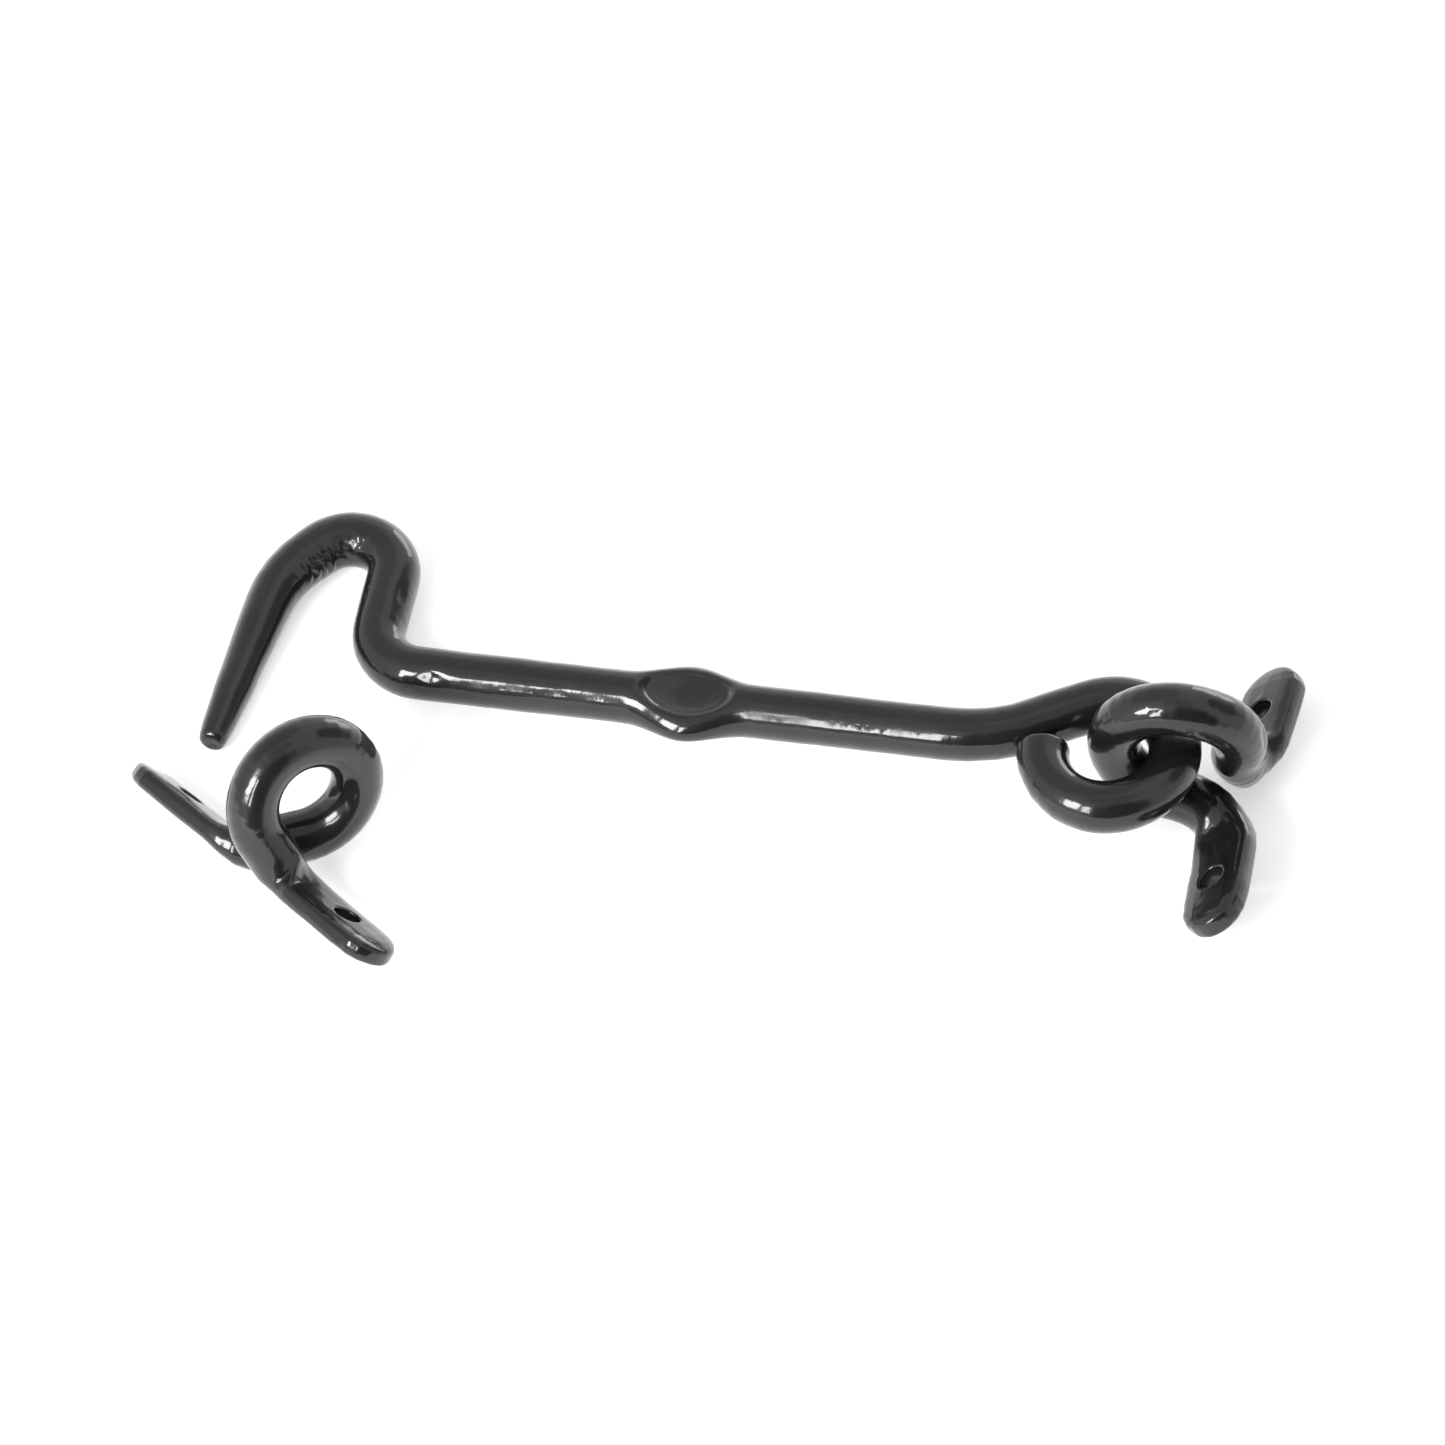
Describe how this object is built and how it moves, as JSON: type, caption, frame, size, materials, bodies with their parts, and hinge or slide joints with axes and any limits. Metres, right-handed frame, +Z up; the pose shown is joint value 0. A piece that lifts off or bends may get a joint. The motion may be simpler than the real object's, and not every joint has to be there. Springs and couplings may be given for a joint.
{
  "type": "cabin hook with two staples",
  "caption": "Black forged steel cabin hook set: a dented, swan-necked hook arm chained through a ringed screw-on staple, with a loose matching keeper staple.",
  "frame": {"origin": "centre of the set's bounding box on the table it lies on", "axes": "+X from the hook's tip towards the pivot staple, +Y from the keeper staple towards the hook arm, +Z up off the table"},
  "size_m": [0.235, 0.1206, 0.0385],
  "materials": {
    "black_paint": "gloss"
  },
  "bodies": {
    "pivot_staple": {"pivot_staple": "black_paint"},
    "hook_arm": {"hook_arm": "black_paint"},
    "keeper_staple": {"keeper_staple": "black_paint"}
  },
  "joints": [
    {"name": "arm_swing", "type": "hinge", "parent": "pivot_staple", "child": "hook_arm", "pos_m": [0.07881, -0.01164, 0.01782], "axis": [0.082, 0.018, -0.9965], "range_deg": [-2, 100]},
    {"name": "keeper_shift", "type": "slide", "parent": "pivot_staple", "child": "keeper_staple", "axis": [0, -1, 0], "range_m": [0, 0.05]}
  ]
}
